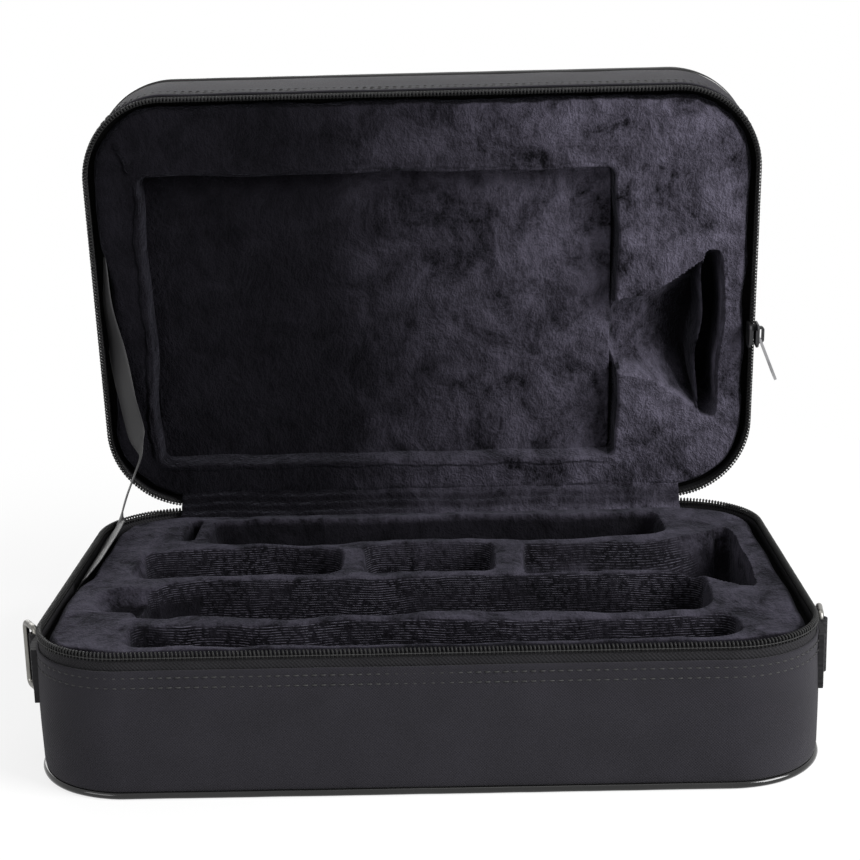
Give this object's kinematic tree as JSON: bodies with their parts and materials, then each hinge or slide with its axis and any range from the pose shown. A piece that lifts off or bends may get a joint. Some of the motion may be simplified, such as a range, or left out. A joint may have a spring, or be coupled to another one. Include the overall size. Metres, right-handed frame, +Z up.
{
  "type": "clarinet case",
  "caption": "Soft zip case for a clarinet, standing open: foam tub and lid covered in cloth, lined in plush with shaped pockets, with a ribbon stay and strap rings.",
  "frame": {"origin": "middle of the base's underside, on the surface the case stands on", "axes": "+Z up, +Y from the open front to the hinge, +X to the right when facing the open case, along its long side"},
  "size_m": [0.3737, 0.2779, 0.2981],
  "materials": {
    "foam": "matte",
    "plush": "matte",
    "cloth": "matte",
    "piping": "satin",
    "tape": "matte",
    "zip_coil": "satin",
    "zip_metal": "satin",
    "ring_metal": "satin",
    "webbing": "matte",
    "ribbon": "satin"
  },
  "bodies": {
    "base": {"base_shell": "foam", "base_insert": "foam", "base_lining": "plush", "base_cover": "cloth", "base_panel": "cloth", "base_piping": "piping", "base_zip_tape": "tape", "base_zip_coil": "zip_coil", "hinge_cloth": "cloth", "hinge_lining": "plush", "stay_ribbon": "ribbon", "strap_tab_left": "webbing", "strap_tab_right": "webbing"},
    "lid": {"lid_shell": "foam", "lid_insert": "foam", "lid_lining": "plush", "lid_cover": "cloth", "lid_panel": "cloth", "lid_piping": "piping", "lid_zip_tape": "tape", "lid_zip_coil": "zip_coil", "lid_recess_board": "plush"},
    "slider": {"zip_slider": "zip_metal", "slider_bridge": "zip_metal"},
    "pull": {"zip_pull": "zip_metal"},
    "left_ring": {"strap_ring_left": "ring_metal"},
    "right_ring": {"strap_ring_right": "ring_metal"}
  },
  "joints": [
    {"name": "lid_hinge", "type": "hinge", "parent": "base", "child": "lid", "pos_m": [0, 0.1113, 0.068], "axis": [1, 0, 0], "range_deg": [-38, 82.5], "deforming": ["hinge_cloth", "hinge_lining", "stay_ribbon"]},
    {"name": "slider_travel", "type": "slide", "parent": "lid", "child": "slider", "axis": [0, -0.1305, 0.9914], "range_m": [-0.042, 0.081]},
    {"name": "pull_swing", "type": "hinge", "parent": "slider", "child": "pull", "pos_m": [0.17695, 0.09959, 0.15698], "axis": [0, -0.9914, -0.1305], "range_deg": [-20, 100]},
    {"name": "left_ring_swing", "type": "hinge", "parent": "base", "child": "left_ring", "pos_m": [-0.17825, -0.061, 0.0453], "axis": [0, 0, 1], "range_deg": [-25, 110]},
    {"name": "right_ring_swing", "type": "hinge", "parent": "base", "child": "right_ring", "pos_m": [0.17825, -0.061, 0.0453], "axis": [0, 0, -1], "range_deg": [0, 135]}
  ]
}
